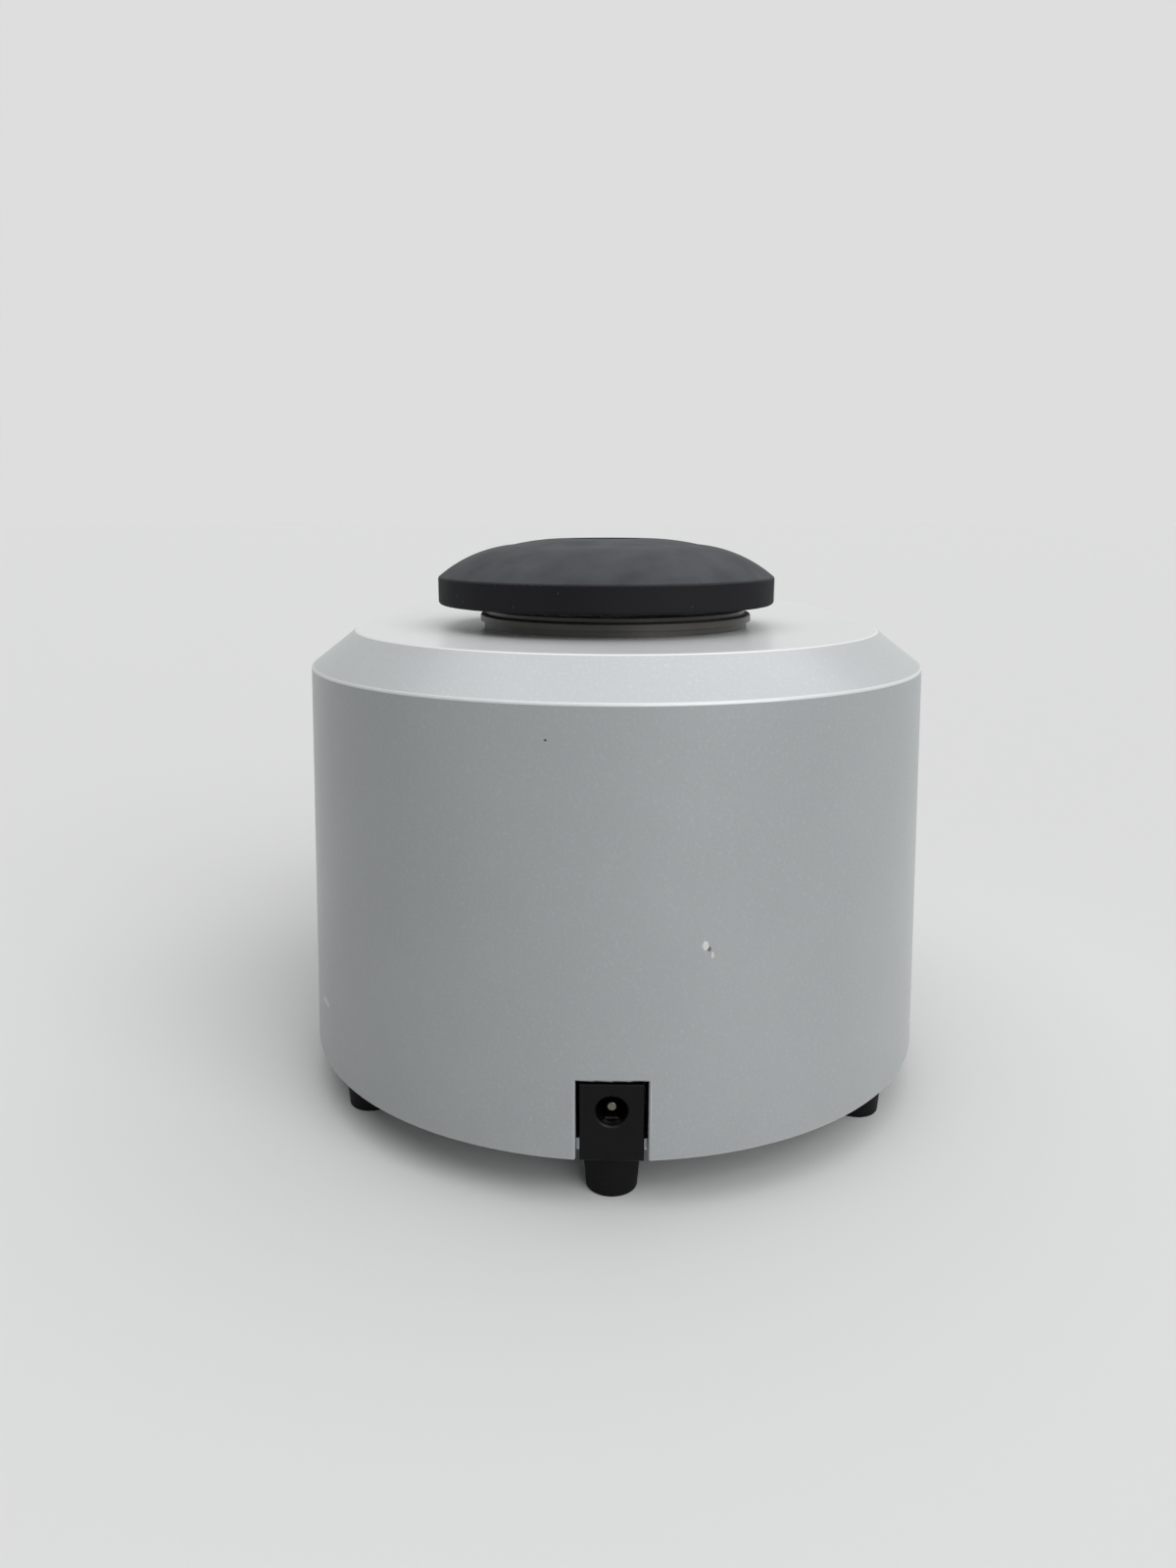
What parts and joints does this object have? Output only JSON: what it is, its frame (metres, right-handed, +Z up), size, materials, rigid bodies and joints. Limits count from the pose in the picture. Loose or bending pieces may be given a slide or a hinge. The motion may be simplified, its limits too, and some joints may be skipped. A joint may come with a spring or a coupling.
{
  "type": "vortex mixer",
  "caption": "Laboratory vortex mixer: horseshoe-shaped metal housing on rubber feet, orbiting black rubber cup head, speed knob and mode rocker at the front, power socket at the rear.",
  "frame": {"origin": "on the bench, under the middle of the whole instrument", "axes": "+Z up along the drive axis, +Y to the rear where the socket is, control panel towards -Y, +X to the right of a user at the panel"},
  "size_m": [0.15, 0.1829, 0.13],
  "materials": {
    "silver_paint": "fine textured silver enamel on a cast aluminium shell",
    "fascia_plastic": "matt moulded plastic with printed scale",
    "grey_plastic": "satin moulded plastic",
    "black_plastic": "satin moulded plastic",
    "white_plastic": "natural nylon",
    "knob_plastic": "satin moulded plastic",
    "capacitor_sleeve": "shrunk vinyl sleeve",
    "board_laminate": "solder mask on glass laminate",
    "black_rubber": "moulded rubber, slightly dusty",
    "zinc_steel": "zinc plated sheet",
    "screw_steel": "plated screws",
    "turned_steel": "turned and ground",
    "spring_steel": "drawn and hardened",
    "aluminium": "machined",
    "plated_brass": "nickel plated",
    "bronze": "sintered bronze",
    "ferrite": "sintered and laminated iron",
    "green_lens": "clear tinted plastic"
  },
  "bodies": {
    "chassis": {"base_plate": "zinc_steel", "housing": "silver_paint", "front_panel": "fascia_plastic", "top_collar": "grey_plastic", "feet": "black_rubber", "foot_screws": "screw_steel", "base_screws": "screw_steel", "panel_screws": "screw_steel", "socket_block": "black_plastic", "socket_pin": "plated_brass", "socket_leaf": "plated_brass", "circuit_board": "board_laminate", "board_screws": "screw_steel", "capacitors": "capacitor_sleeve", "driver_chip": "black_plastic", "heat_sink": "aluminium", "connectors": "white_plastic", "speed_pot": "zinc_steel", "pot_nut": "screw_steel", "switch_frame": "black_plastic", "status_lens": "green_lens", "status_light": "green_lens", "guide_posts": "turned_steel", "post_screws": "screw_steel", "return_springs": "spring_steel", "touch_switch": "black_plastic", "switch_bracket": "zinc_steel", "switch_screws": "screw_steel", "bracket_screws": "screw_steel"},
    "drive_unit": {"motor_plate": "aluminium", "plate_bushes": "bronze", "motor_can": "zinc_steel", "motor_cap": "black_plastic", "motor_magnets": "ferrite", "motor_bearings": "bronze", "motor_screws": "screw_steel", "flex_posts": "black_rubber", "post_foot_screws": "screw_steel"},
    "rotor": {"motor_shaft": "turned_steel", "armature": "ferrite", "crank": "turned_steel", "grub_screw": "screw_steel", "counterweight": "turned_steel", "bearing_inner": "turned_steel", "bearing_balls": "turned_steel"},
    "head": {"bearing_outer": "turned_steel", "orbit_hub": "aluminium", "retaining_ring": "spring_steel", "post_head_screws": "screw_steel", "head_disc": "aluminium", "disc_screws": "screw_steel", "rubber_head": "black_rubber"},
    "knob": {"speed_knob": "knob_plastic", "pot_shaft": "turned_steel"},
    "rocker": {"mode_rocker": "black_plastic"},
    "lever": {"switch_lever": "spring_steel"},
    "plunger": {"switch_plunger": "white_plastic"}
  },
  "joints": [
    {"name": "touch_press", "type": "slide", "parent": "chassis", "child": "drive_unit", "axis": [0, 0, 1], "range_m": [-0.0015, 0], "stiffness_N_per_m": 4000, "springref_m": 0.004, "deforming": ["return_springs"]},
    {"name": "motor_spin", "type": "hinge", "parent": "drive_unit", "child": "rotor", "pos_m": [0, 0.01676, 0.079], "axis": [0, 0, 1], "continuous": true, "deforming": ["flex_posts"]},
    {"name": "head_orbit", "type": "hinge", "parent": "rotor", "child": "head", "pos_m": [0.00225, 0.01676, 0.097], "axis": [0, 0, 1], "continuous": true},
    {"name": "knob_turn", "type": "hinge", "parent": "chassis", "child": "knob", "pos_m": [0.01609, -0.07168, 0.05575], "axis": [0, 0.9925, -0.1219], "range_deg": [0, 300]},
    {"name": "rocker_tilt", "type": "hinge", "parent": "chassis", "child": "rocker", "pos_m": [-0.02939, -0.07092, 0.04961], "axis": [1, 0, 0], "range_deg": [-10, 10]},
    {"name": "lever_tilt", "type": "hinge", "parent": "chassis", "child": "lever", "pos_m": [-0.033, 0.00926, 0.0727], "axis": [1, 0, 0], "range_deg": [-5.75, 0]},
    {"name": "plunger_press", "type": "slide", "parent": "chassis", "child": "plunger", "axis": [0, 0, 1], "range_m": [-0.0005, 0]}
  ],
  "couplings": [
    {"joint": "head_orbit", "follows": "motor_spin", "ratio": -1},
    {"joint": "lever_tilt", "follows": "touch_press", "rad_per_m": 66.141},
    {"joint": "plunger_press", "follows": "touch_press", "ratio": 0.3333}
  ]
}
